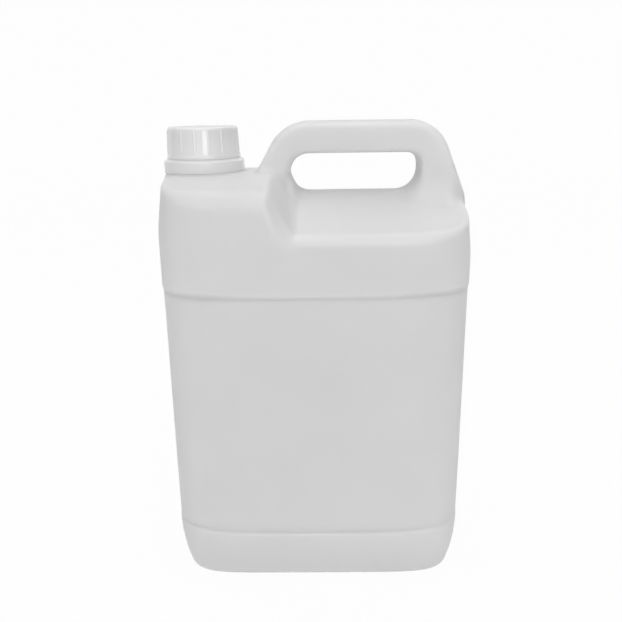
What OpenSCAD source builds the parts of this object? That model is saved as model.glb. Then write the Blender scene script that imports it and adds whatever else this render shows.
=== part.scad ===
// Five litre canister bottle with an integral handle and a screw closure.
// The bottle stands on z = 0, its front faces -Y and the handle lies towards +X.

/* [Body] */
// overall height, to the top of the handle
total_h = 290; // [270:1:310]
// width of the body across its sides
body_w = 188; // [176:1:204]
// depth of the body, front to back
body_d = 128; // [118:1:138]
// wall of the moulding
wall = 1.2; // [1:0.1:1.6]
// squareness of the plan outline
plan_n = 5.2; // [4.8:0.1:5.6]
// radius of the heel
heel_r = 6.5; // [5:0.5:8]
// inward taper of the base band above the heel
base_taper = 4.6; // [3:0.2:6]
// rise of the middle of the base above the standing rim
push_up = 3; // [2:0.5:5]

/* [Label panel] */
// lower edge of the sunk panel
panel_z0 = 37.5; // [32:0.5:50]
// height of the band between the panel and the hand recess
upper_band = 35.7; // [28:0.1:44]
// depth of the panel below the bands
panel_sink = 0.9; // [0.6:0.1:1.3]
// squareness of the plan outline along the panel
panel_n = 4.85; // [4.6:0.05:5]

/* [Shoulder] */
// height of the spout shoulder below the top of the handle
shoulder_drop = 29; // [27:0.5:32]
// slope of the hand recess beside the handle
recess_slope = 17; // [14:0.5:20]
// radius of the shoulder edge
edge_r = 6; // [4:0.5:8]

/* [Handle] */
// thickness of the grip bar
bar_h = 19.3; // [17:0.1:22]
// depth of the grip bar, front to back
bar_d = 28; // [24:0.5:32]
// squareness of the grip bar's section
bar_n = 4; // [2.4:0.2:5]
// clear height of the finger opening
hole_h = 22.9; // [20:0.1:24]

/* [Neck] */
// radius of the neck under its thread
neck_r = 19.6; // [18:0.1:21]
// wall of the neck
neck_wall = 2.5; // [2:0.1:4]

/* [Closure] */
// wall of the closure at its top
cap_wall = 1; // [0.8:0.1:1.6]
// height of the closure
cap_h = 18.6; // [17:0.2:19.4]
// count of the grip ribs
rib_count = 16; // [8:1:24]
// height of a rib above the skirt
rib_h = 0.5; // [0.3:0.1:0.8]
// turn of the ribs away from the front
rib_turn = 17; // [0:0.5:22]
// step from the closure's skirt out to the tamper ring
ring_flare = 2.3; // [1.8:0.1:3]
// thickness of the lip that the tamper ring hangs over its seat
lip_t = 1; // [0.8:0.1:1.2]
// thickness of the sealing wad
wad_t = 1.2; // [0.8:0.1:1.6]

/* [Hidden] */
$fn = 96;
half_w = body_w / 2;
half_d = body_d / 2;
bar_r = bar_d / 2;
ridge_z = total_h - bar_h - hole_h;
root_z = ridge_z - 3.8;
shoulder_z = total_h - shoulder_drop;
recess_z = root_z - (half_d - bar_r) * tan(recess_slope);
panel_z1 = recess_z - upper_band;

// closure radii, from the neck out
thread_room = 1.4;
bore_r = neck_r - neck_wall;
bead_r = neck_r + thread_room + 1;
cap_bore = neck_r + thread_room;
cap_r = cap_bore + cap_wall;
skirt_r = cap_r + 0.7;
ring_r = skirt_r + ring_flare;
seat_r = ring_r - lip_t - 0.4;

// places along the width, from the closure to the handle's far leg
neck_x = ring_r - half_w;
foot_x = neck_x + ring_r + 8.6;
hole_x0 = foot_x + 20.2;
hole_x1 = half_w - 29.2;
step_x = hole_x0 - 1;

// neck and closure heights, from the shoulder up
ring_z = shoulder_z + 0.2;
ring_h = 7.4;
band_h = 6;
lip_h = 1.2;
cap_z = ring_z + ring_h + 0.3;
cap_top = cap_z + cap_h;
plate_t = 1.8;
rim_z = cap_top - plate_t - wad_t;

// a point of the unit plan outline, from an angle or from its x
function by_angle(a, n) =
    let (k = pow(pow(abs(cos(a)), n) + pow(abs(sin(a)), n), 1 / n))
    [cos(a) / k, sin(a) / k];
function by_x(u, n) = [u, pow(1 - pow(abs(u), n), 1 / n)];

// stations round half of the plan outline, right end to left end
corner_a = [0, 9, 18, 26, 32, 37, 41, 45, 49, 54, 60];
step_u = step_x / half_w;
step_du = [0.075, 0.035, 0, -0.035, -0.075];
face_u = [0.44, 0.3, 0.15, 0.02, for (d = step_du) step_u + d, -0.33, -0.45];
n_corner = len(corner_a);
n_face = len(face_u);
n_half = 2 * n_corner + n_face - 1;
n_ring = 2 * n_half;
function half_col(i, n) =
    i < n_corner ? by_angle(corner_a[i], n) :
    i < n_corner + n_face ? by_x(face_u[i - n_corner], n) :
    by_angle(180 - corner_a[n_half - i], n);
function col(i, n) = i <= n_half ? half_col(i, n) : let (c = half_col(n_ring - i, n)) [c[0], -c[1]];

function ease(a, b, x) = let (k = min(1, max(0, (x - a) / (b - a)))) k * k * (3 - 2 * k);

// height of the upper side of the body over a point of the plan
spout_z = ring_z - lip_h - 0.3;
function spout_top(y) = spout_z - 0.24 * max(0, abs(y) - 34);
function recess_top(y) =
    abs(y) < bar_r ? root_z + (ridge_z - root_z) * (1 - pow(y / bar_r, 2)) :
    root_z - (abs(y) - bar_r) * tan(recess_slope);
function body_top(x, y) =
    let (k = ease(step_x - 5, step_x + 4, x))
    (1 - k) * spout_top(y) + k * recess_top(y);

// the ends of the body lean in towards the top
function lean(c, z) = pow(c[0], 4) * (
    c[0] < 0 ? 0.16 * max(0, z - shoulder_z + 31) * ease(0, 0.55, abs(c[1])) :
    -0.1 * max(0, z - recess_z + 13));

// one ring of the skin: inset from the plan, plan squareness, height
function level(i, inset, n, z) =
    let (c = col(i, n))
    [(half_w - inset) * c[0] + lean(c, z), -(half_d - inset) * c[1], z];
function sunk(i, t, z) =
    let (c = col(i, panel_n))
    [(half_w - t) * c[0], -(half_d - t - panel_sink) * c[1], z];
function corner_w(i, n) = let (c = col(i, n)) pow(2 * c[0] * c[1], 2) / 2.3;
// keeps the stations at the two ends apart where a ring folds onto the middle line
function gather(c) = pow(c[0], 4) * (0.06 + 0.1 * abs(c[1]));
function over(i, inset, f, t) =
    let (c = col(i, plan_n), x = (half_w - inset) * c[0], y = -(half_d - inset) * c[1] * f)
    let (z = body_top(x + t, y) - t * 1.05)
    [x * (1 - (1 - f) * gather(c)) + lean(c, z), y, z];
function edge(i, inset, r0, a, t) =
    let (c = col(i, plan_n), r = r0 * (1 - 0.6 * ease(0.7, 1, abs(c[0]))))
    let (z = body_top((half_w - inset - r) * c[0] + t, (half_d - inset - r) * c[1]) - t * 1.05)
    level(i, inset + r * (1 - cos(a)), plan_n, z - r + r * sin(a));
function floor_line(i, inset, z) = let (c = col(i, plan_n)) [(half_w - inset) * c[0] * (1 - gather(c)), 0, z];

// rings of the skin from the middle of the base to the spine of the top; t is the depth below the outside
all = [0:n_ring - 1];
base_n = plan_n + 1.2;
spine_f = [0.84, 0.68, 0.52, 0.38, (bar_r + 2) / half_d, (bar_r - 2) / half_d, 0.12, 0];
function skin_rings(t) = let (r = edge_r - t, h = heel_r - t) [
    [for (i = all) floor_line(i, 40, push_up + t)],
    [for (i = all) level(i, base_taper + 26, base_n, push_up + t)],
    [for (i = all) level(i, base_taper + 15 + t, base_n, t)],
    for (a = [0, 26, 52, 78])
        [for (i = all) level(i, t + base_taper + h * (1 - sin(a)), base_n, t + h * (1 - cos(a)))],
    [for (i = all) level(i, t + base_taper * 0.3, plan_n + 0.5, panel_z0 - 14)],
    [for (i = all) level(i, t + base_taper * 0.09, plan_n + 0.2, panel_z0 - 9)],
    [for (i = all) level(i, t, plan_n, panel_z0 - 1.6)],
    [for (i = all) sunk(i, t, panel_z0 + 1.5 * corner_w(i, plan_n))],
    [for (i = all) sunk(i, t, (panel_z0 + panel_z1) / 2)],
    [for (i = all) sunk(i, t, panel_z1)],
    [for (i = all) level(i, t, plan_n, panel_z1 + 1.8 + 3.2 * corner_w(i, plan_n))],
    [for (i = all) level(i, t, plan_n, recess_z - 9)],
    for (a = [0, 22.5, 45, 67.5, 90]) [for (i = all) edge(i, t, r, a, t)],
    for (f = spine_f) [for (i = all) over(i, edge_r, f, t)]
];

// closes a stack of rings whose first and last ones are folded onto a line
module loft(rings) {
    n = len(rings[0]);
    h = n / 2;
    last = len(rings) - 1;
    pts = [for (r = rings) for (p = r) p];
    function id(j, i) = let (k = i % n) (j == 0 || j == last) && k > h ? j * n + n - k : j * n + k;
    tri = [for (j = [0:last - 1]) for (i = [0:n - 1])
        let (a = id(j, i), b = id(j, i + 1), c = id(j + 1, i + 1), d = id(j + 1, i))
        for (f = (i % h < h / 2) == (j < last / 2) ? [[a, c, d], [a, b, c]] : [[a, b, d], [b, c, d]])
            if (f[0] != f[1] && f[1] != f[2] && f[2] != f[0]) f];
    polyhedron(points = pts, faces = tri, convexity = 8);
}

module body_skin(t) {
    loft(skin_rings(t));
}

// outline of the handle: the hole side and the outer side of each cross section, foot to foot
rl = 12;
rt = 7.5;
rb = 12;
lc = [hole_x0 + rl, total_h - bar_h - rl];
rc = [hole_x1 - rt, total_h - bar_h - rt];
la = [hole_x0 + rb, ridge_z + rb];
ra = [hole_x1 - rb - 2, ridge_z + rb + 2];
leg_a = 60;
rear_a = 68;
out_l = 27.5;
out_r = 25;
lo = [foot_x + 32.5, total_h - out_l];
ro = [half_w - 35.2, total_h - out_r];
function polar(c, r, a) = [c[0] + r * cos(a), c[1] + r * sin(a)];
function down_left(z) = let (p = polar(lo, out_l, 90 + leg_a)) [p[0] - (p[1] - z) / tan(leg_a), z];
function down_right(z) = let (p = polar(ro, out_r, 90 - rear_a)) [p[0] + (p[1] - z) / tan(rear_a), z];
function bar_point(a, ra, b, rb, k) = a * (1 - k) + b * k + [0, ra * (1 - k) + rb * k];
sections = [
    [[hole_x0 + 12, ridge_z - 16], [foot_x - 5, ridge_z - 18]],
    [polar(la, rb, 240), [foot_x - 4, shoulder_z - 14]],
    [polar(la, rb, 210), [foot_x - 2, shoulder_z - 5]],
    [polar(la, rb, 180), down_left(shoulder_z + 3)],
    [polar(lc, rl, 168), down_left(shoulder_z + 10)],
    for (k = [0:3]) let (a = 90 + leg_a * (1 - k / 3)) [polar(lc, rl, a), polar(lo, out_l, a)],
    for (k = [0.25, 0.5, 0.75]) [bar_point(lc, rl, rc, rt, k), bar_point(lo, out_l, ro, out_r, k)],
    for (k = [0:4]) let (a = 90 - rear_a * k / 4) [polar(rc, rt, a), polar(ro, out_r, a)],
    [polar(ra, rb + 2, 0), down_right(ridge_z + 15)],
    [polar(ra, rb + 2, -30), down_right(ridge_z + 3)],
    [polar(ra, rb + 2, -48), [half_w - 0.9, ridge_z - 3]],
    [polar(ra, rb + 2, -64), [half_w - 0.1, ridge_z - 11]],
    [[hole_x1 - 14, ridge_z - 14], [half_w - 2.6, ridge_z - 23]]
];
n_tube = 20;
module tube(t) {
    pts = [for (s = sections)
        let (m = (s[0] + s[1]) / 2, e = (s[1] - s[0]) / 2, k = 1 - t / norm(e))
        for (i = [0:n_tube - 1])
        let (c = by_angle(360 * i / n_tube, bar_n))
        [m[0] + e[0] * k * c[0], (bar_r - t) * c[1], m[1] + e[1] * k * c[0]]];
    last = len(sections) - 1;
    tri = [
        for (j = [0:last - 1]) for (i = [0:n_tube - 1])
            let (a = j * n_tube + i, b = j * n_tube + (i + 1) % n_tube)
            for (f = [[a, b, b + n_tube], [a, b + n_tube, a + n_tube]]) f,
        for (i = [1:n_tube - 2]) [0, i + 1, i],
        for (i = [1:n_tube - 2]) [last * n_tube, last * n_tube + i, last * n_tube + i + 1]
    ];
    polyhedron(points = pts, faces = tri, convexity = 6);
}

module neck_solid() {
    translate([neck_x, 0, 0])
    rotate_extrude() polygon([
        [0, shoulder_z - 8], [seat_r, shoulder_z - 8], [seat_r, ring_z - 0.3],
        [neck_r + 0.8, ring_z - 0.3], [neck_r + 0.8, ring_z + 2.2],
        [bead_r, ring_z + 3], [bead_r, ring_z + 4], [neck_r, ring_z + 5.6],
        [neck_r, rim_z - 0.6], [neck_r - 0.6, rim_z], [0, rim_z]
    ]);
}

module bottle() {
    color([0.86, 0.87, 0.86])
    difference() {
        union() {
            body_skin(0);
            tube(0);
            neck_solid();
        }
        union() {
            body_skin(wall);
            tube(wall);
            translate([neck_x, 0, shoulder_z - 20]) cylinder(r = bore_r, h = 60);
        }
    }
}

module screw_cap() {
    color([0.88, 0.89, 0.88])
    translate([neck_x, 0, 0])
    difference() {
        union() {
            rotate_extrude() polygon([
                [0, cap_z], [skirt_r, cap_z], [skirt_r - 0.3, cap_z + 2.4], [cap_r, cap_top - 1.4],
                [cap_r - 0.5, cap_top - 0.4], [cap_r - 1.5, cap_top], [0, cap_top]
            ]);
            for (k = [0:rib_count - 1]) rotate([0, 0, rib_turn + 360 * k / rib_count])
                translate([cap_r - 1, -0.8, cap_z + 2.6]) cube([1 + rib_h + 0.2, 1.6, cap_h - 5]);
        }
        translate([0, 0, cap_z - 1]) cylinder(r = cap_bore, h = cap_h - plate_t + 1);
    }
}

module tamper_ring() {
    color([0.88, 0.89, 0.88])
    translate([neck_x, 0, 0])
    rotate_extrude() polygon([
        [neck_r + 1.1, ring_z], [ring_r - lip_t, ring_z], [ring_r - lip_t, ring_z - lip_h],
        [ring_r, ring_z - lip_h], [ring_r, ring_z + band_h], [skirt_r + 0.2, ring_z + ring_h],
        [bead_r + 0.3, ring_z + ring_h], [bead_r + 0.3, ring_z + 2.6], [neck_r + 1.1, ring_z + 1.8]
    ]);
}

module cap_liner() {
    color([0.93, 0.93, 0.9])
    translate([neck_x, 0, rim_z]) cylinder(r = cap_bore - 0.2, h = wad_t);
}

bottle();
screw_cap();
tamper_ring();
cap_liner();
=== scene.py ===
"""Looks of a five litre blow-moulded canister bottle with an integral handle and a screw closure."""

import math

import bpy
import numpy as np
from mathutils import Matrix, Vector


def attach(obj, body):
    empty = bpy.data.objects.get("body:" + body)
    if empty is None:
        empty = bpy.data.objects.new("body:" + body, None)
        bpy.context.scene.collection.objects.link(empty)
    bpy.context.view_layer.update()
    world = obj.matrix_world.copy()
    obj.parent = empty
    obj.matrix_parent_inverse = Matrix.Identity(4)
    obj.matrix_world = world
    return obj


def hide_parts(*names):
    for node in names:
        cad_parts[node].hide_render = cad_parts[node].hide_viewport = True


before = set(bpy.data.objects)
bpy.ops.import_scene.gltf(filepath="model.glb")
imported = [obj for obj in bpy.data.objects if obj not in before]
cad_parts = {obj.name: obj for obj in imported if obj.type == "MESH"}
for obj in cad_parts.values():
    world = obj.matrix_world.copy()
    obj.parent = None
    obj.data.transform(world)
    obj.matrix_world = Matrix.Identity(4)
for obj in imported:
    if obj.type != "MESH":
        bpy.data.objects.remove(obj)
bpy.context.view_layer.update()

# Sizes of the object are in millimetres, those of the stage and the lights in metres
MM = 0.001

# Body: plan, heel and base
TOTAL_H = 290.0
HALF_W = 94.0
HALF_D = 64.0
WALL = 1.2
PLAN_N = 5.2
BASE_SQUARING = 1.2
SQUARING_Z = 6.0
HEEL_R = 7.5
BASE_TAPER = 5.1
TAPER_Z = 7.0
TAPER_L = 29.0
TAPER_POWER = 1.6
PUSH_UP = 3.0
PUSH_UP_SPAN = (14.0, 26.0)

# Sunk panel: its depth and its corners change from foot to head, and its edges widen at the corners
PANEL_Z0 = 37.5
PANEL_Z1 = 193.0
PANEL_EVEN = 20.0
PANEL_SINK_LOW = 0.55
PANEL_SINK_HIGH = 0.85
PANEL_SINK_END = 0.05
PANEL_N_LOW = 5.05
PANEL_N_HIGH = 4.8
PANEL_FOOT = (-1.6, 0.4)
PANEL_FOOT_CORNER = 1.5
PANEL_HEAD = 2.2
PANEL_HEAD_CORNER = 3.2
CORNER_PEAK = 2.3

# Edge round the top of the body, by place
SPOUT_EDGE_R = 9.0
RECESS_EDGE_R = 5.0
LEFT_EDGE_R = 3.3
RIGHT_EDGE_R = 2.0
SIDE_EDGE_FROM = 0.7

# Shoulder, recess and handle section
BAR_H = 19.3
BAR_R = 14.0
BAR_N = 4.8
BAR_HALF_MIN = 3.0
HOLE_H = 22.9
RECESS_TAN = math.tan(math.radians(17.0))
RECESS_CROWN = 0.47
RIDGE_Z = TOTAL_H - BAR_H - HOLE_H
ROOT_Z = RIDGE_Z - 3.8
RECESS_Z = ROOT_Z - (HALF_D - BAR_R) * RECESS_TAN
SHOULDER_Z = TOTAL_H - 29.0
SHOULDER_SINK = 1.3
SHOULDER_FALL = 0.24
SHOULDER_FLAT = 34.0
SHOULDER_SOFT = 6.0

# Lean of the two ends: the upper wall's slope, and how far below the top it starts
LEFT_LEAN = 0.16
LEFT_LEAN_DROP = 31.0
LEFT_LEAN_CORNER = 0.55
RIGHT_LEAN = -0.12
RIGHT_LEAN_DROP = 14.0
LEAN_SOFT = 5.0
LEAN_SPAN = (0.5, 0.9)

# Neck and closure
RING_R = 25.0
RING_H = 7.4
BAND_H = 6.0
LIP_H = 1.2
LIP_T = 1.0
SLIT = 0.06
NECK_X = RING_R - HALF_W
NECK_R = 19.6
BORE_R = 17.1
BEAD_R = NECK_R + 2.4
COLLAR_R = RING_R - 1.4
CAP_R = 22.0
CAP_H = 18.6
SKIRT_R = CAP_R + 0.7
CROWN_R = 1.6
DISH = 0.35
HUB_R = 10.0
CAP_BORE = NECK_R + 1.4
RING_Z = SHOULDER_Z + 0.2
CAP_Z = RING_Z + RING_H + 0.3
CAP_TOP = CAP_Z + CAP_H
PLATE_T = 1.8
WAD_T = 1.2
RIM_Z = CAP_TOP - PLATE_T - WAD_T
COLLAR_TOP = RING_Z - 0.25
COLLAR_EDGE_R = 0.6
COLLAR_END_Z = SHOULDER_Z - 14.0
CROWN_POINTS = 7
RING_ARC_STEPS = 5

# Thread
THREAD_LEAD = 5.0
THREAD_Z = RING_Z + 6.6
THREAD_END = 1.6
THREAD_ROW = 0.4
THREAD_FLANK = 0.25
THREAD_RUN_IN = (-0.05, 0.12)
THREAD_RUN_OUT = (-0.12, 0.02)
NECK_THREAD_H = 1.0
NECK_THREAD_W = 1.1
CAP_THREAD_H = 0.85
CAP_THREAD_W = 1.0

# Ribs of the closure and bridges to its ring
RIBS = 16
RIB_TURN = math.radians(17.0)
RIB_H = 0.3
RIB_SPAN = (0.15, 0.65)
SKIRT_ROW = 0.6
BRIDGES = 12
BRIDGE_SPAN = (0.35, 0.6)
BRIDGE_GAP = 0.03

# Columns of the turned pieces
NECK_COLUMNS = 160
BORE_COLUMNS = 96
CAP_COLUMNS = 512
RING_COLUMNS = 480

# Handle outline
FOOT_X = -35.4
HOLE_X0 = FOOT_X + 20.2
HOLE_X1 = HALF_W - 29.2
HOLE_TOP_L = 12.0
HOLE_TOP_R = 7.5
STEP_X = HOLE_X0 - 1.0
OUT_RL = 27.5
OUT_RR = 25.0
OUT_L = (FOOT_X + 32.5, TOTAL_H - OUT_RL)
OUT_R = (HALF_W - 35.2, TOTAL_H - OUT_RR)
LEG_A = math.radians(60.0)
REAR_A = math.radians(68.0)
REAR_LIMIT = HALF_W + 0.1
REAR_SOFT = 2.0
LEG_END_Z = RIDGE_Z - 36.0

# Where the spout's level and edge give way to the recess, along x
STEP_SPAN = (STEP_X - 12.0, STEP_X + 6.0)
STEP_EDGE_SPAN = (STEP_X - 8.0, STEP_X + 10.0)

# Fillet between handle and body: what is added between two places along x, and cut at the rear
FILLET_LEAST = 0.5
FILLET_STEPS = (
    (5.5, FOOT_X - 5.0, FOOT_X + 4.0),
    (6.5, HOLE_X0 - 3.0, HOLE_X0 + 3.0),
    (2.0, 30.0, HOLE_X1 - 6.0),
)
FILLET_REAR_CUT = 0.7
FILLET_REAR_SPAN = (HALF_W - 12.0, HALF_W - 2.0)
COLLAR_FILLET = 2.0
COLLAR_FILLET_MORE = 2.4
COLLAR_FILLET_SPAN = (2.0 - HALF_W, 12.0 - HALF_W)

# Ridge left by the mould's parting, which fades out above the surface that the bottle stands on
PARTING_H = 0.16
PARTING_W = 0.45
PARTING_FADE = (0.3, 2.0)

# Meshing grids as (start, end, spacing) stretches
OUTER_X = ((-97.0, -36.0, 2.1), (-36.0, 97.0, 1.65))
OUTER_Y_HALF = ((0.0, 0.9, 0.3), (0.9, 2.1, 0.6), (2.1, 20.0, 1.5), (20.0, 67.0, 2.3))
OUTER_Z = ((-2.0, 10.0, 1.0), (10.0, 34.5, 2.6), (34.5, 42.0, 0.55), (42.0, 190.5, 4.4),
           (190.5, 201.0, 0.55), (201.0, 222.0, 2.0), (222.0, 293.0, 1.45))
INNER_X = ((-97.0, 97.0, 4.2),)
INNER_Y = ((-67.0, 67.0, 4.2),)
INNER_Z = ((-2.0, 12.0, 3.0), (12.0, 222.0, 7.0), (222.0, 293.0, 3.6))
NEWTON_STEPS = 4
NEWTON_H = 0.02
NEWTON_MOST = 0.8
NEWTON_SLOPE = 0.2

# Faces that meet at more than this angle keep a sharp edge
SHARP_ANGLE = math.radians(38.0)

# Finish
HDPE_DARK = (0.748, 0.749, 0.748, 1.0)
HDPE_LIGHT = (0.795, 0.796, 0.795, 1.0)
CLOSURE_DARK = (0.785, 0.787, 0.785, 1.0)
CLOSURE_LIGHT = (0.815, 0.817, 0.815, 1.0)
TEAR_BAND_DARK = (0.71, 0.712, 0.71, 1.0)
TEAR_BAND_LIGHT = (0.735, 0.737, 0.735, 1.0)
FOAM_DARK = (0.72, 0.72, 0.68, 1.0)
FOAM_LIGHT = (0.82, 0.82, 0.79, 1.0)
CLOUD_SCALE = 9.0
CLOUD_SPAN = (0.32, 0.68)
GLOSS_SCALE = 34.0
WAVE_SCALE = 26.0
GRAIN_SCALE = 1100.0
SCATTER_DEPTH = 4.5
PLASTIC_IOR = 1.5
MATT_ROUGHNESS = 0.5
MATT_FADE = 0.7
FOAM_CELL_SCALE = 900.0
FOAM_CELL_DEPTH = 0.08
FOAM_ROUGHNESS = 0.75

# Stage: a paper sweep, mostly white where it is looked at
SWEEP_HALF = 6.0
SWEEP_BACK = 2.6
SWEEP_BEND = 0.9
SWEEP_STEPS = 16
SWEEP_TOP = 4.5
PAPER = (0.82, 0.82, 0.82, 1.0)
WHITE_SHARE = 0.95

# Surrounding light, which is weaker towards both sides
WHITE = (1.0, 1.0, 1.0, 1.0)
WORLD_MIDDLE = 1.45
WORLD_SIDE = 0.12
WORLD_SPAN = (0.3, 0.8)

# Camera, fitted to the photograph's view
IMAGE_PX = 622.0
FOCAL_PX = 660.0
SENSOR_MM = 36.0
CLIP_START = 0.01
CAM_DISTANCE = 424.2
CAM_X = -3.4
CAM_Z = 299.5
CAM_PITCH = math.radians(17.38)
CAM_ROLL = math.radians(-0.83)
CAM_YAW = math.radians(0.8)


# Distances and blends
def ease(a, b, x):
    """Smooth step from 0 at a to 1 at b."""
    k = np.clip((x - a) / (b - a), 0.0, 1.0)
    return k * k * (3.0 - 2.0 * k)


def blend(low, high, k):
    return low + (high - low) * k


def soft_positive(x, width):
    return 0.5 * (x + np.sqrt(x * x + width * width))


def round_max(a, b, r):
    """Intersection of two distances with an edge of radius r."""
    u = np.maximum(a + r, 0.0)
    v = np.maximum(b + r, 0.0)
    return np.minimum(np.maximum(a, b), -r) + np.hypot(u, v)


def round_min(a, b, r):
    """Union of two distances with a fillet of radius r."""
    u = np.maximum(r - a, 0.0)
    v = np.maximum(r - b, 0.0)
    return np.maximum(np.minimum(a, b), r) - np.hypot(u, v)


def smooth_max(a, b, k):
    return np.maximum(a, b) + np.maximum(k - np.abs(a - b), 0.0) ** 2 / (4.0 * k)


def outline_distance(u, v, a, b, n):
    """Distance to the superellipse |u/a|^n + |v/b|^n = 1, true near its line."""
    p = np.abs(u / a) + 1e-9
    q = np.abs(v / b) + 1e-9
    g = (p ** n + q ** n) ** (1.0 / n)
    slope = g ** (1.0 - n) * np.hypot(p ** (n - 1.0) / a, q ** (n - 1.0) / b)
    return (g - 1.0) / slope


# Form of the bottle
def body_top(x, y):
    """Height of the body's upper side: the spout's shoulder, and the recess beside it."""
    fall = SHOULDER_FALL * soft_positive(np.abs(y) - SHOULDER_FLAT, SHOULDER_SOFT)
    spout = SHOULDER_Z - SHOULDER_SINK - fall
    recess = RIDGE_Z + RECESS_CROWN - np.sqrt(RECESS_CROWN ** 2 + (RECESS_TAN * y) ** 2)
    return blend(spout, recess, ease(*STEP_SPAN, x))


def top_distance(x, y, z):
    h = 0.2
    top_z = body_top(x, y)
    dx = (body_top(x + h, y) - top_z) / h
    dy = (body_top(x, y + h) - top_z) / h
    return (z - top_z) / np.sqrt(1.0 + dx * dx + dy * dy)


def body_field(x, y, z):
    """Distance to the blown body without its handle."""
    g = (np.abs(x / HALF_W) ** PLAN_N + np.abs(y / HALF_D) ** PLAN_N + 1e-12) ** (1.0 / PLAN_N)
    c0 = x / HALF_W / g
    c1 = np.abs(y / HALF_D / g)
    end = c0 ** 4 * ease(*LEAN_SPAN, g)
    lean_l = LEFT_LEAN * soft_positive(z - SHOULDER_Z + LEFT_LEAN_DROP, LEAN_SOFT)
    lean_l = lean_l * ease(0.0, LEFT_LEAN_CORNER, c1)
    lean_r = RIGHT_LEAN * soft_positive(z - RECESS_Z + RIGHT_LEAN_DROP, LEAN_SOFT)
    xs = x - end * np.where(c0 < 0.0, lean_l, lean_r)
    inset = BASE_TAPER * (1.0 - np.clip((z - TAPER_Z) / TAPER_L, 0.0, 1.0)) ** TAPER_POWER
    square = PLAN_N + BASE_SQUARING * (1.0 - ease(SQUARING_Z, PANEL_Z0, z))
    band = outline_distance(xs, y, HALF_W - inset, HALF_D - inset, square)
    rise = ease(PANEL_Z0 + PANEL_EVEN, PANEL_Z1, z)
    sink = blend(PANEL_SINK_LOW, PANEL_SINK_HIGH, rise)
    panel_n = blend(PANEL_N_LOW, PANEL_N_HIGH, rise)
    panel = outline_distance(xs, y, HALF_W - PANEL_SINK_END, HALF_D - sink, panel_n)
    corner = (2.0 * c0 * c1) ** 2 / CORNER_PEAK
    lower = ease(PANEL_Z0 + PANEL_FOOT[0], PANEL_Z0 + PANEL_FOOT[1] + PANEL_FOOT_CORNER * corner, z)
    upper = 1.0 - ease(PANEL_Z1, PANEL_Z1 + PANEL_HEAD + PANEL_HEAD_CORNER * corner, z)
    side = band + (panel - band) * lower * upper
    base = PUSH_UP * ease(*PUSH_UP_SPAN, -band) - z
    front_r = blend(SPOUT_EDGE_R, RECESS_EDGE_R, ease(*STEP_EDGE_SPAN, x))
    side_r = np.where(c0 < 0.0, LEFT_EDGE_R, RIGHT_EDGE_R)
    edge = blend(front_r, side_r, ease(SIDE_EDGE_FROM, 1.0, np.abs(c0)))
    return round_max(round_max(side, top_distance(x, y, z), edge), base, HEEL_R)


def hole_distance(x, z):
    """Distance to the finger opening, which runs on down between the handle's legs."""
    top = TOTAL_H - BAR_H
    middle = (HOLE_X0 + HOLE_X1) / 2.0
    r = np.where(x < middle, HOLE_TOP_L, HOLE_TOP_R)
    qx = np.abs(x - middle) - (HOLE_X1 - HOLE_X0) / 2.0 + r
    qz = z - top + r
    out = np.hypot(np.maximum(qx, 0.0), np.maximum(qz, 0.0))
    return np.minimum(np.maximum(qx, qz), 0.0) + out - r


def frame_distance(x, z):
    """Distance to the outer outline of the handle."""
    lx, lz = x - OUT_L[0], z - OUT_L[1]
    rx, rz = x - OUT_R[0], z - OUT_R[1]
    left = -lx * math.sin(LEG_A) + lz * math.cos(LEG_A) - OUT_RL
    right = rx * math.sin(REAR_A) + rz * math.cos(REAR_A) - OUT_RR
    along_l = lx * math.cos(LEG_A) + lz * math.sin(LEG_A)
    along_r = -rx * math.cos(REAR_A) + rz * math.sin(REAR_A)
    inner = np.maximum(np.maximum(left, right), z - TOTAL_H)
    inner = np.where((lx < 0.0) & (along_l > 0.0), np.hypot(lx, lz) - OUT_RL, inner)
    inner = np.where((rx > 0.0) & (along_r > 0.0), np.hypot(rx, rz) - OUT_RR, inner)
    return smooth_max(inner, x - REAR_LIMIT, REAR_SOFT)


def handle_field(x, y, z):
    """Distance to the handle, a tube whose section is a superellipse between hole and outline."""
    d_in = hole_distance(x, z)
    d_out = -frame_distance(x, z)
    half = np.maximum(0.5 * (d_in + d_out), BAR_HALF_MIN)
    across = 0.5 * (d_in - d_out)
    tube = outline_distance(across, y, half, BAR_R, BAR_N)
    return np.maximum(tube, LEG_END_Z - z)


def collar_field(x, y, z):
    """Distance to the low seat that carries the tamper ring."""
    out = np.hypot(x - NECK_X, y) - COLLAR_R
    return np.maximum(round_max(out, z - COLLAR_TOP, COLLAR_EDGE_R), COLLAR_END_Z - z)


def bottle_field(x, y, z):
    """Distance to the bottle's outer form."""
    fillet = FILLET_LEAST
    for more, start, end in FILLET_STEPS:
        fillet = fillet + more * ease(start, end, x)
    fillet = fillet * (1.0 - FILLET_REAR_CUT * ease(*FILLET_REAR_SPAN, x))
    whole = round_min(body_field(x, y, z), handle_field(x, y, z), fillet)
    foot = COLLAR_FILLET + COLLAR_FILLET_MORE * ease(*COLLAR_FILLET_SPAN, x)
    return round_min(whole, collar_field(x, y, z), foot)


def skin_field(x, y, z):
    """The outer skin, with the fine ridge that the mould's parting leaves on the middle plane."""
    return bottle_field(x, y, z) - PARTING_H * np.exp(-(y / PARTING_W) ** 2) * ease(*PARTING_FADE, z)


def cavity_field(x, y, z):
    return bottle_field(x, y, z) + WALL


# Meshing
def grid_lines(stretches):
    """Grid positions from (start, end, spacing) stretches that follow one another."""
    lines = [np.array([stretches[0][0]])]
    for start, end, step in stretches:
        count = max(1, round((end - start) / step))
        lines.append(np.linspace(start, end, count + 1)[1:])
    return np.concatenate(lines)


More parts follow.
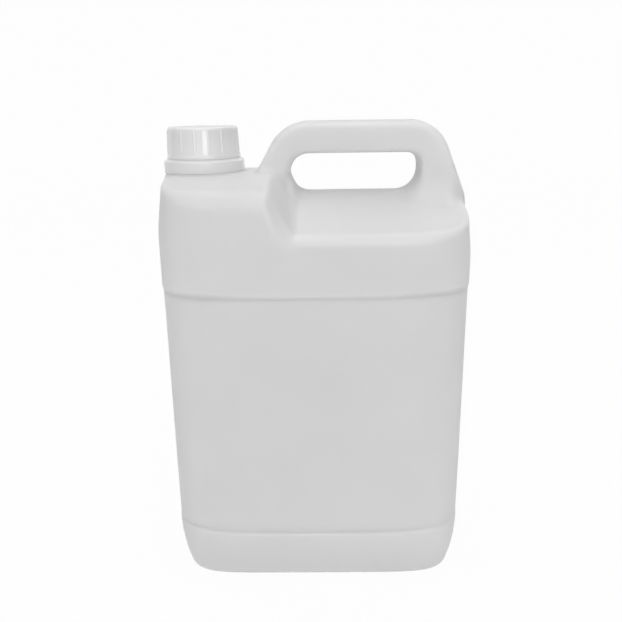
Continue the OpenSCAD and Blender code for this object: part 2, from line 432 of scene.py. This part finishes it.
def surface_net(field, xs, ys, zs):
    """Quads on the zero surface of a field, one vertex per crossed cell, pulled onto the surface."""
    axes = (xs, ys, zs)
    value = field(xs[:, None, None], ys[None, :, None], zs[None, None, :])
    cells = tuple(np.array(value.shape) - 1)
    total = np.zeros(cells + (3,))
    count = np.zeros(cells)
    crossings = []
    for axis in range(3):
        low = [slice(None)] * 3
        high = [slice(None)] * 3
        low[axis] = slice(None, -1)
        high[axis] = slice(1, None)
        f0, f1 = value[tuple(low)], value[tuple(high)]
        at = np.argwhere((f0 < 0.0) != (f1 < 0.0))
        a, b = f0[tuple(at.T)], f1[tuple(at.T)]
        point = np.stack([axes[k][at[:, k]] for k in range(3)], axis=1)
        gap = axes[axis][at[:, axis] + 1] - axes[axis][at[:, axis]]
        point[:, axis] += gap * a / (a - b)
        u, v = (axis + 1) % 3, (axis + 2) % 3
        for du, dv in ((0, 0), (0, 1), (1, 0), (1, 1)):
            cell = at.copy()
            cell[:, u] -= du
            cell[:, v] -= dv
            np.add.at(total, tuple(cell.T), point)
            np.add.at(count, tuple(cell.T), 1.0)
        crossings.append((at, a < 0.0, u, v))
    used = count > 0
    index = np.full(used.shape, -1)
    index[used] = np.arange(used.sum())
    verts = total[used] / count[used][:, None]
    quads = []
    for at, outward, u, v in crossings:
        around = []
        for du, dv in ((1, 1), (0, 1), (0, 0), (1, 0)):
            cell = at.copy()
            cell[:, u] -= du
            cell[:, v] -= dv
            around.append(index[tuple(cell.T)])
        quad = np.stack(around, axis=1)
        quads.append(np.where(outward[:, None], quad, quad[:, ::-1]))
    for _ in range(NEWTON_STEPS):
        verts = pull(field, verts)
    return verts, np.concatenate(quads).tolist()


def pull(field, p):
    """One Newton step of points towards the zero surface."""
    value = field(p[:, 0], p[:, 1], p[:, 2])
    grad = np.empty_like(p)
    for k in range(3):
        d = np.zeros(3)
        d[k] = NEWTON_H
        hi, lo = p + d, p - d
        rise = field(hi[:, 0], hi[:, 1], hi[:, 2]) - field(lo[:, 0], lo[:, 1], lo[:, 2])
        grad[:, k] = rise / (2 * NEWTON_H)
    step = (value / np.maximum((grad ** 2).sum(axis=1), NEWTON_SLOPE))[:, None] * grad
    length = np.linalg.norm(step, axis=1, keepdims=True)
    return p - step * np.minimum(1.0, NEWTON_MOST / np.maximum(length, 1e-9))


def add_mesh(name, verts, faces):
    mesh = bpy.data.meshes.new(name)
    mesh.from_pydata((np.asarray(verts) * MM).tolist(), [], faces)
    mesh.validate()
    mesh.update()
    obj = bpy.data.objects.new(name, mesh)
    bpy.context.scene.collection.objects.link(obj)
    return obj


def full_turn(columns):
    return np.arange(columns) * 2.0 * math.pi / columns


def turned(angles, radius, height, solid=False):
    """Vertices and faces of a profile turned round the neck's axis.

    radius and height have one row per profile point, and one column per angle or one for all. The
    profile is a closed loop, or with solid set, its first and last rows are closed by flat discs."""
    columns = len(angles)
    rows = len(radius)
    r = np.broadcast_to(radius, (rows, columns))
    z = np.broadcast_to(height, (rows, columns))
    x = NECK_X + r * np.cos(angles)
    y = r * np.sin(angles)
    verts = np.stack([x, y, z], axis=2).reshape(-1, 3)
    j, i = np.meshgrid(np.arange(rows - 1 if solid else rows), np.arange(columns), indexing="ij")
    nj, ni = (j + 1) % rows, (i + 1) % columns
    quads = np.stack([j * columns + i, j * columns + ni, nj * columns + ni, nj * columns + i], axis=-1)
    faces = quads.reshape(-1, 4).tolist()
    if solid:
        first_hub, last_hub = len(verts), len(verts) + 1
        last = (rows - 1) * columns
        for k in range(columns):
            nk = (k + 1) % columns
            faces.append([first_hub, nk, k])
            faces.append([last_hub, last + k, last + nk])
        verts = np.vstack([verts, [[NECK_X, 0.0, z[0, 0]], [NECK_X, 0.0, z[-1, 0]]]])
    return verts, faces


def boolean(obj, other, operation):
    """Applies a boolean with another object, which is then removed."""
    mod = obj.modifiers.new("bool", "BOOLEAN")
    mod.operation = operation
    mod.object = other
    mod.solver = "MANIFOLD"
    graph = bpy.context.evaluated_depsgraph_get()
    mesh = bpy.data.meshes.new_from_object(obj.evaluated_get(graph))
    obj.modifiers.clear()
    old = obj.data
    obj.data = mesh
    mesh.name = obj.name
    bpy.data.meshes.remove(old)
    bpy.data.meshes.remove(other.data)


def smooth_shade(obj):
    mesh = obj.data
    mesh.polygons.foreach_set("use_smooth", np.ones(len(mesh.polygons), dtype=bool))
    mesh.set_sharp_from_angle(angle=SHARP_ANGLE)


def path_points(corners, radii, per_arc):
    """A closed profile whose corners are rounded by arcs."""
    points = []
    n = len(corners)
    for i in range(n):
        p = np.array(corners[i], float)
        r = radii[i]
        u = np.array(corners[i - 1], float) - p
        v = np.array(corners[(i + 1) % n], float) - p
        u /= np.linalg.norm(u)
        v /= np.linalg.norm(v)
        half = 0.5 * math.acos(float(np.clip(u @ v, -1.0, 1.0)))
        cut = r / math.tan(half)
        centre = p + (u + v) / np.linalg.norm(u + v) * r / math.sin(half)
        a = p + u * cut - centre
        b = p + v * cut - centre
        turn = math.atan2(a[0] * b[1] - a[1] * b[0], float(a @ b))
        for k in range(per_arc + 1):
            t = turn * k / per_arc
            c, s = math.cos(t), math.sin(t)
            points.append(centre + np.array([a[0] * c - a[1] * s, a[0] * s + a[1] * c]))
    return np.array(points)


def thread_height(a, z, end, phase, width):
    """Ridge height, 0 to 1, of a right-hand thread at turning angles a and heights z."""
    turn = (z - THREAD_Z) / THREAD_LEAD - a / (2.0 * math.pi) - phase
    off = np.abs(turn - np.round(turn)) * THREAD_LEAD
    ridge = 1.0 - ease(THREAD_FLANK * width, width, off)
    whole = np.round(turn) + a / (2.0 * math.pi)
    last = (end - THREAD_Z) / THREAD_LEAD - phase
    run_out = ease(last + THREAD_RUN_OUT[0], last + THREAD_RUN_OUT[1], whole)
    return ridge * (ease(*THREAD_RUN_IN, whole) * (1.0 - run_out))


# Bottle
def build_bottle():
    ys_half = grid_lines(OUTER_Y_HALF)
    ys = np.concatenate([-ys_half[:0:-1], ys_half])
    outer = add_mesh("bottle_shell", *surface_net(skin_field, grid_lines(OUTER_X), ys, grid_lines(OUTER_Z)))
    inner_lines = [grid_lines(stretches) for stretches in (INNER_X, INNER_Y, INNER_Z)]
    cavity = add_mesh("cavity", *surface_net(cavity_field, *inner_lines))
    boolean(outer, add_mesh("neck", *neck_mesh()), "UNION")
    boolean(cavity, add_mesh("bore", *bore_mesh()), "UNION")
    boolean(outer, cavity, "DIFFERENCE")
    smooth_shade(outer)
    return outer


def neck_mesh():
    """The neck as a full solid: collar, seat, retaining bead and threaded wall."""
    seat = RING_Z - 0.3
    shank_r = NECK_R + 0.8
    rows = np.arange(RING_Z + 5.8, RIM_Z - 0.7, THREAD_ROW)
    profile = [(COLLAR_R, SHOULDER_Z - 7.0), (COLLAR_R, seat), (shank_r, seat), (shank_r, RING_Z + 2.2),
               (BEAD_R, RING_Z + 3.0), (BEAD_R, RING_Z + 4.0), (NECK_R, RING_Z + 5.6)]
    profile += [(NECK_R, z) for z in rows]
    profile += [(NECK_R - 0.15, RIM_Z - 0.25), (NECK_R - 0.5, RIM_Z)]
    profile = np.array(profile)
    z = profile[:, 1:]
    on_thread = (z >= rows[0] - 0.01) & (z <= rows[-1] + 0.01)
    angles = full_turn(NECK_COLUMNS)
    ridge = thread_height(angles[None, :], z, RIM_Z - THREAD_END, 0.0, NECK_THREAD_W)
    radius = profile[:, :1] + NECK_THREAD_H * ridge * on_thread
    return turned(angles, radius, z, solid=True)


def bore_mesh():
    """What is cut out of the neck, with a bevel at the rim."""
    profile = np.array([(BORE_R, SHOULDER_Z - 20.0), (BORE_R, RIM_Z - 0.5), (BORE_R + 0.5, RIM_Z + 0.02),
                        (BORE_R + 0.5, RIM_Z + 4.0)])
    return turned(full_turn(BORE_COLUMNS), profile[:, :1], profile[:, 1:], solid=True)


# Closure
def build_cap():
    inside_top = CAP_TOP - PLATE_T
    rows_out = np.arange(CAP_Z + 1.2, CAP_TOP - 2.0, SKIRT_ROW)
    rows_in = np.arange(CAP_Z + 1.0, inside_top - THREAD_END, THREAD_ROW)[::-1]
    rim_r = CAP_R - 0.35
    low = RING_Z + RING_H + SLIT
    under = [(HUB_R, inside_top), (CAP_BORE - 0.6, inside_top), (CAP_BORE, inside_top - 0.6)]
    inside = [(CAP_BORE, z) for z in rows_in]
    mouth = [(CAP_BORE + 0.15, CAP_Z + 0.3), (CAP_BORE + 0.4, low), (SKIRT_R - 0.06, low)]
    draft_z = [CAP_Z + 1.2, CAP_Z + 2.6, CAP_TOP - 1.4]
    draft_r = [SKIRT_R, SKIRT_R - 0.35, rim_r]
    outside = [(SKIRT_R, low + 0.06), (SKIRT_R, CAP_Z + 0.6)]
    outside += [(np.interp(z, draft_z, draft_r), z) for z in rows_out]
    crown = [(rim_r - CROWN_R + CROWN_R * math.sin(t), CAP_TOP - CROWN_R + CROWN_R * math.cos(t))
             for t in np.linspace(math.pi / 2, 0.0, CROWN_POINTS)]
    dish = [(CAP_R - 2.6, CAP_TOP), (CAP_R - 3.2, CAP_TOP - 0.15), (CAP_R - 3.8, CAP_TOP - DISH),
            (HUB_R, CAP_TOP - DISH)]
    profile = np.array(under + inside + mouth + outside + crown + dish)
    first_in = len(under)
    first_out = len(under) + len(inside) + len(mouth)
    z = profile[:, 1:]
    index = np.arange(len(profile))[:, None]
    ribbed = (index >= first_out + 2) & (index < first_out + len(outside) + 3)
    threaded = (index >= first_in) & (index < first_in + len(inside))
    angles = full_turn(CAP_COLUMNS)
    pitch = 2.0 * math.pi / RIBS
    off = (angles + math.pi / 2 - RIB_TURN + pitch / 2) % pitch - pitch / 2
    rib = 1.0 - ease(*RIB_SPAN, np.abs(off)[None, :] * CAP_R)
    up = ease(CAP_Z + 2.2, CAP_Z + 3.4, z) * (1.0 - ease(CAP_TOP - 2.6, CAP_TOP - 0.9, z))
    ridge = thread_height(angles[None, :], z, inside_top - THREAD_END, 0.5, CAP_THREAD_W)
    radius = profile[:, :1] + RIB_H * rib * up * ribbed - CAP_THREAD_H * ridge * threaded
    obj = add_mesh("cap_shell", *turned(angles, radius, z, solid=True))
    smooth_shade(obj)
    return obj


def build_ring():
    corners = [(NECK_R + 1.1, RING_Z), (RING_R - LIP_T, RING_Z), (RING_R - LIP_T, RING_Z - LIP_H),
               (RING_R, RING_Z - LIP_H), (RING_R, RING_Z + BAND_H),
               (SKIRT_R + 0.2, RING_Z + RING_H), (BEAD_R + 0.3, RING_Z + RING_H),
               (BEAD_R + 0.3, RING_Z + 2.6), (NECK_R + 1.1, RING_Z + 1.8)]
    radii = [0.2, 0.1, 0.1, 0.35, 0.6, 0.1, 0.1, 0.2, 0.2]
    profile = path_points(corners, radii, RING_ARC_STEPS)
    z = profile[:, 1:]
    top = z > RING_Z + RING_H - 0.16
    angles = full_turn(RING_COLUMNS)
    pitch = 2.0 * math.pi / BRIDGES
    off = np.abs((angles + pitch / 2) % pitch - pitch / 2)[None, :] * SKIRT_R
    height = z + (SLIT - BRIDGE_GAP) * (1.0 - ease(*BRIDGE_SPAN, off)) * top
    obj = add_mesh("tear_ring", *turned(angles, profile[:, :1], height))
    smooth_shade(obj)
    return obj


# Materials
def new_material(name):
    mat = bpy.data.materials.new(name)
    mat.use_nodes = True
    nodes = mat.node_tree.nodes
    links = mat.node_tree.links
    return mat, nodes, links, nodes["Principled BSDF"]


def noise_node(nodes, links, scale, detail):
    coords = nodes.new("ShaderNodeTexCoord")
    noise = nodes.new("ShaderNodeTexNoise")
    noise.inputs["Scale"].default_value = scale
    noise.inputs["Detail"].default_value = detail
    noise.inputs["Roughness"].default_value = 0.5
    links.new(coords.outputs["Object"], noise.inputs["Vector"])
    return noise.outputs["Fac"]


def map_range(nodes, links, source, low, high, start=0.3, end=0.7):
    node = nodes.new("ShaderNodeMapRange")
    node.inputs["From Min"].default_value = start
    node.inputs["From Max"].default_value = end
    node.inputs["To Min"].default_value = low
    node.inputs["To Max"].default_value = high
    links.new(source, node.inputs["Value"])
    return node


def math_node(nodes, links, operation, *sources):
    """A math node fed by sockets or plain numbers."""
    node = nodes.new("ShaderNodeMath")
    node.operation = operation
    for socket, source in zip(node.inputs, sources):
        if isinstance(source, float):
            socket.default_value = source
        else:
            links.new(source, socket)
    return node.outputs["Value"]


def axis_parts(nodes, links, space):
    """X, Y and Z of the object's or the world's coordinates."""
    coords = nodes.new("ShaderNodeTexCoord")
    parts = nodes.new("ShaderNodeSeparateXYZ")
    links.new(coords.outputs[space], parts.inputs["Vector"])
    return parts.outputs


def bump_node(nodes, links, height, depth_mm):
    bump = nodes.new("ShaderNodeBump")
    bump.inputs["Distance"].default_value = depth_mm * MM
    links.new(height, bump.inputs["Height"])
    return bump


def milky_plastic(name, dark, light, roughness, subsurface, wave_mm, grain_mm, matt_z=None):
    """Unpigmented polyolefin: cloudy colour, satin skin, slow mould waves and fine grain.

    Where matt_z is given, the skin turns matt up to that height."""
    mat, nodes, links, shader = new_material(name)
    ramp = nodes.new("ShaderNodeValToRGB")
    for element, position, colour in zip(ramp.color_ramp.elements, CLOUD_SPAN, (dark, light)):
        element.position = position
        element.color = colour
    links.new(noise_node(nodes, links, CLOUD_SCALE, detail=3.0), ramp.inputs["Fac"])
    links.new(ramp.outputs["Color"], shader.inputs["Base Color"])
    gloss = noise_node(nodes, links, GLOSS_SCALE, detail=4.0)
    rough = map_range(nodes, links, gloss, *roughness).outputs["Result"]
    if matt_z is not None:
        height = axis_parts(nodes, links, "Object")["Z"]
        matt = map_range(nodes, links, height, 0.0, MATT_ROUGHNESS, (matt_z - MATT_FADE) * MM, matt_z * MM)
        rough = math_node(nodes, links, "ADD", rough, matt.outputs["Result"])
    links.new(rough, shader.inputs["Roughness"])
    wave_bump = bump_node(nodes, links, noise_node(nodes, links, WAVE_SCALE, detail=1.0), wave_mm)
    grain_bump = bump_node(nodes, links, noise_node(nodes, links, GRAIN_SCALE, detail=2.0), grain_mm)
    links.new(wave_bump.outputs["Normal"], grain_bump.inputs["Normal"])
    links.new(grain_bump.outputs["Normal"], shader.inputs["Normal"])
    shader.inputs["Subsurface Weight"].default_value = subsurface
    shader.inputs["Subsurface Radius"].default_value = (1.0, 1.0, 1.0)
    shader.inputs["Subsurface Scale"].default_value = SCATTER_DEPTH * MM
    shader.inputs["IOR"].default_value = PLASTIC_IOR
    return mat


def foam_material():
    """Fine closed cells of the sealing wad."""
    mat, nodes, links, shader = new_material("foam_wad")
    coords = nodes.new("ShaderNodeTexCoord")
    cells = nodes.new("ShaderNodeTexVoronoi")
    cells.inputs["Scale"].default_value = FOAM_CELL_SCALE
    links.new(coords.outputs["Object"], cells.inputs["Vector"])
    ramp = nodes.new("ShaderNodeValToRGB")
    ramp.color_ramp.elements[0].color = FOAM_DARK
    ramp.color_ramp.elements[1].color = FOAM_LIGHT
    links.new(cells.outputs["Distance"], ramp.inputs["Fac"])
    links.new(ramp.outputs["Color"], shader.inputs["Base Color"])
    bump = bump_node(nodes, links, cells.outputs["Distance"], FOAM_CELL_DEPTH)
    links.new(bump.outputs["Normal"], shader.inputs["Normal"])
    shader.inputs["Roughness"].default_value = FOAM_ROUGHNESS
    return mat


def set_material(obj, mat):
    obj.data.materials.clear()
    obj.data.materials.append(mat)


# Stage
def sweep_material():
    """Pale paper that is mostly plain white to the camera, in reflections and through clear things."""
    mat = bpy.data.materials.new("pale_sweep")
    mat.use_nodes = True
    nodes, links = mat.node_tree.nodes, mat.node_tree.links
    nodes.clear()
    out = nodes.new("ShaderNodeOutputMaterial")
    paper = nodes.new("ShaderNodeBsdfDiffuse")
    paper.inputs["Color"].default_value = PAPER
    white = nodes.new("ShaderNodeEmission")
    white.inputs["Strength"].default_value = 1.0
    ray = nodes.new("ShaderNodeLightPath").outputs
    seen = math_node(nodes, links, "MAXIMUM", ray["Is Camera Ray"], ray["Is Glossy Ray"])
    seen = math_node(nodes, links, "MAXIMUM", seen, ray["Is Transmission Ray"])
    share = math_node(nodes, links, "MULTIPLY", seen, WHITE_SHARE)
    mix = nodes.new("ShaderNodeMixShader")
    links.new(share, mix.inputs["Fac"])
    links.new(paper.outputs["BSDF"], mix.inputs[1])
    links.new(white.outputs["Emission"], mix.inputs[2])
    links.new(mix.outputs["Shader"], out.inputs["Surface"])
    return mat


def build_floor():
    rows = [(-SWEEP_HALF, 0.0)]
    rows += [(SWEEP_BACK - SWEEP_BEND + SWEEP_BEND * math.sin(t), SWEEP_BEND - SWEEP_BEND * math.cos(t))
             for t in np.linspace(0.0, math.pi / 2, SWEEP_STEPS)]
    rows.append((SWEEP_BACK, SWEEP_TOP))
    verts = [(x, y, z) for y, z in rows for x in (-SWEEP_HALF, SWEEP_HALF)]
    faces = [(2 * k, 2 * k + 1, 2 * k + 3, 2 * k + 2) for k in range(len(rows) - 1)]
    mesh = bpy.data.meshes.new("floor")
    mesh.from_pydata(verts, [], faces)
    mesh.update()
    mesh.polygons.foreach_set("use_smooth", [True] * len(mesh.polygons))
    mesh.materials.append(sweep_material())
    obj = bpy.data.objects.new("floor", mesh)
    bpy.context.scene.collection.objects.link(obj)


def add_area(name, location, target, size, watts):
    light = bpy.data.lights.new(name, "AREA")
    light.shape = "RECTANGLE"
    light.size, light.size_y = size
    light.energy = watts
    obj = bpy.data.objects.new(name, light)
    obj.location = location
    aim = Vector(target) - Vector(location)
    obj.rotation_euler = aim.to_track_quat("-Z", "Y").to_euler()
    bpy.context.scene.collection.objects.link(obj)


def build_lights():
    add_area("front_lamp", location=(0.157, -0.95, 0.33), target=(0.0, 0.0, 0.2),
             size=(0.2, 0.055), watts=0.35)
    add_area("front_box", location=(0.0, -1.4, 0.4), target=(0.0, 0.0, 0.18), size=(0.6, 0.5), watts=0.6)
    add_area("top_box", location=(0.02, -0.16, 1.2), target=(0.0, 0.0, 0.2), size=(0.8, 0.8), watts=0.8)


def build_world():
    """Soft light from all round, weaker from the sides, and plain white to the camera."""
    world = bpy.data.worlds.new("studio")
    world.use_nodes = True
    nodes, links = world.node_tree.nodes, world.node_tree.links
    background = nodes["Background"]
    background.inputs["Color"].default_value = WHITE
    aside = math_node(nodes, links, "ABSOLUTE", axis_parts(nodes, links, "Generated")["X"])
    level = map_range(nodes, links, aside, WORLD_MIDDLE, WORLD_SIDE, *WORLD_SPAN)
    level.interpolation_type = "SMOOTHSTEP"
    ray = nodes.new("ShaderNodeLightPath").outputs
    seen = nodes.new("ShaderNodeMix")
    seen.data_type = "FLOAT"
    links.new(ray["Is Camera Ray"], seen.inputs["Factor"])
    links.new(level.outputs["Result"], seen.inputs["A"])
    seen.inputs["B"].default_value = 1.0
    links.new(seen.outputs["Result"], background.inputs["Strength"])
    bpy.context.scene.world = world


def build_camera():
    data = bpy.data.cameras.new("camera")
    data.sensor_width = SENSOR_MM
    data.lens = SENSOR_MM * FOCAL_PX / IMAGE_PX
    data.clip_start = CLIP_START
    obj = bpy.data.objects.new("camera", data)
    sin_y, cos_y = math.sin(CAM_YAW), math.cos(CAM_YAW)
    place = Vector((CAM_X + CAM_DISTANCE * sin_y, -CAM_DISTANCE * cos_y, CAM_Z)) * MM
    ahead = Vector((-sin_y * math.cos(CAM_PITCH), cos_y * math.cos(CAM_PITCH), -math.sin(CAM_PITCH)))
    right = Vector((cos_y, sin_y, 0.0))
    up = right.cross(ahead)
    across = right * math.cos(CAM_ROLL) + up * math.sin(CAM_ROLL)
    upward = -right * math.sin(CAM_ROLL) + up * math.cos(CAM_ROLL)
    turn = Matrix((across, upward, -ahead)).transposed()
    obj.matrix_world = Matrix.Translation(place) @ turn.to_4x4()
    bpy.context.scene.collection.objects.link(obj)
    bpy.context.scene.camera = obj


build_camera()
build_floor()
build_lights()
build_world()

hdpe = milky_plastic("natural_hdpe_skin", HDPE_DARK, HDPE_LIGHT, roughness=(0.40, 0.52),
                     subsurface=0.8, wave_mm=0.35, grain_mm=0.012)
closure = milky_plastic("closure_skin", CLOSURE_DARK, CLOSURE_LIGHT, roughness=(0.11, 0.17),
                        subsurface=0.4, wave_mm=0.06, grain_mm=0.004, matt_z=CAP_TOP - 0.2)
tear_band = milky_plastic("tear_band_skin", TEAR_BAND_DARK, TEAR_BAND_LIGHT, roughness=(0.14, 0.2),
                          subsurface=0.4, wave_mm=0.06, grain_mm=0.004)
foam = foam_material()

bottle = build_bottle()
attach(bottle, "bottle")
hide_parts("bottle")
set_material(bottle, hdpe)

cap = build_cap()
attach(cap, "cap")
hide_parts("screw_cap")
set_material(cap, closure)

ring = build_ring()
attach(ring, "bottle")
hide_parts("tamper_ring")
set_material(ring, tear_band)

set_material(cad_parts["cap_liner"], foam)

bpy.context.scene.view_settings.view_transform = "Standard"
